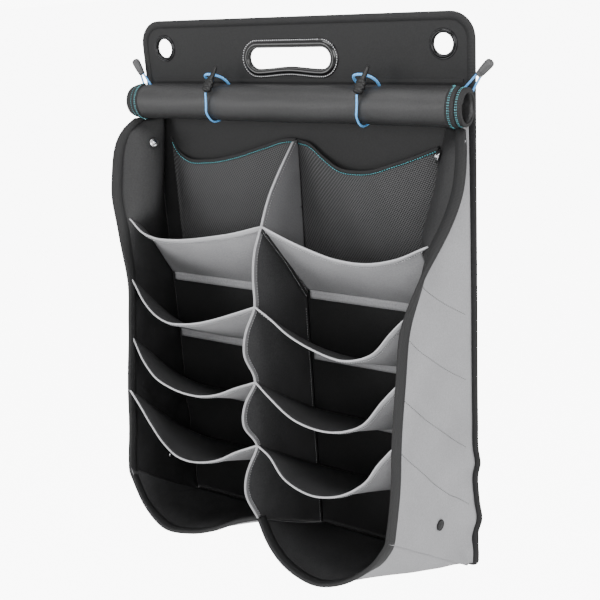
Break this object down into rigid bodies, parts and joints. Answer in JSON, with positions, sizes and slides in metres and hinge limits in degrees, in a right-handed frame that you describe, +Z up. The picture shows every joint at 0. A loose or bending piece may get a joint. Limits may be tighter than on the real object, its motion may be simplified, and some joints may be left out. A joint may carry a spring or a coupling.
{
  "type": "hanging shoe organizer",
  "caption": "Wall-hung fabric shoe organizer with sling shelves in columns either side of a divider, deep bottom slings, mesh pockets and a cover rolled up under the header.",
  "frame": {"origin": "midway between the centres of the two hanging eyelets, on the rear face of the back panel, which lies against the wall", "axes": "+X across to the right as seen from the front, -Y out of the front, +Z up"},
  "size_m": [0.5408, 0.19, 0.741],
  "materials": {
    "board_cloth": "coated, fine weave",
    "binding_tape": "ribbed tape",
    "eyelet_metal": "bright",
    "frame_plastic": "gloss",
    "panel_cloth": "grey outside, black inside",
    "shelf_cloth": "fine weave",
    "divider_cloth": "fine weave",
    "mesh": "open net",
    "stud_plastic": "matt",
    "stud_metal": "nickel",
    "cover_cloth": "coated",
    "elastic": "braided",
    "toggle_plastic": "satin"
  },
  "bodies": {
    "organizer": {"back_panel": "board_cloth", "back_binding": "binding_tape", "cover_seam_tape": "binding_tape", "side_binding_left": "binding_tape", "side_binding_right": "binding_tape", "sling_binding_left": "binding_tape", "sling_binding_right": "binding_tape", "mesh_binding_left": "binding_tape", "mesh_binding_right": "binding_tape", "hanging_eyelets": "eyelet_metal", "eyelet_washers": "eyelet_metal", "slot_frame_front": "frame_plastic", "slot_frame_rear": "frame_plastic", "side_panel_left": "panel_cloth", "side_panel_right": "panel_cloth", "bottom_sling_left": "panel_cloth", "bottom_sling_right": "panel_cloth", "shelf_1_left": "shelf_cloth", "shelf_1_right": "shelf_cloth", "shelf_2_left": "shelf_cloth", "shelf_2_right": "shelf_cloth", "shelf_3_left": "shelf_cloth", "shelf_3_right": "shelf_cloth", "shelf_4_left": "shelf_cloth", "shelf_4_right": "shelf_cloth", "divider_gusset": "shelf_cloth", "divider_panel": "divider_cloth", "mesh_pocket_left": "mesh", "mesh_pocket_right": "mesh", "press_stud_caps": "stud_plastic", "press_studs": "stud_metal", "press_sockets": "stud_metal"},
    "cover": {"cover_roll": "cover_cloth", "cover_binding_left": "binding_tape", "cover_binding_right": "binding_tape", "tie_cord_left": "elastic", "tie_cord_right": "elastic", "tie_loop_left": "elastic", "tie_loop_right": "elastic"},
    "toggle_left": {"toggle_left": "toggle_plastic"},
    "side_pull_left": {"side_cord_left": "elastic", "pull_tab_left": "toggle_plastic"},
    "toggle_right": {"toggle_right": "toggle_plastic"},
    "side_pull_right": {"side_cord_right": "elastic", "pull_tab_right": "toggle_plastic"}
  },
  "joints": [
    {"name": "cover_lift", "type": "hinge", "parent": "organizer", "child": "cover", "pos_m": [0, -0.0046, -0.047], "axis": [-1, 0, 0], "range_deg": [0, 40]},
    {"name": "toggle_left_flip", "type": "hinge", "parent": "cover", "child": "toggle_left", "pos_m": [-0.104, -0.0555, -0.0505], "axis": [1, 0, 0], "range_deg": [0, 100]},
    {"name": "side_pull_left_bend", "type": "hinge", "parent": "organizer", "child": "side_pull_left", "pos_m": [-0.241, -0.0085, -0.05], "axis": [0, 1, 0], "range_deg": [-30, 30], "stiffness_Nm_per_rad": 0.05},
    {"name": "toggle_right_flip", "type": "hinge", "parent": "cover", "child": "toggle_right", "pos_m": [0.122, -0.0555, -0.0505], "axis": [1, 0, 0], "range_deg": [0, 100]},
    {"name": "side_pull_right_bend", "type": "hinge", "parent": "organizer", "child": "side_pull_right", "pos_m": [0.241, -0.0085, -0.05], "axis": [0, 1, 0], "range_deg": [-30, 30], "stiffness_Nm_per_rad": 0.05}
  ]
}
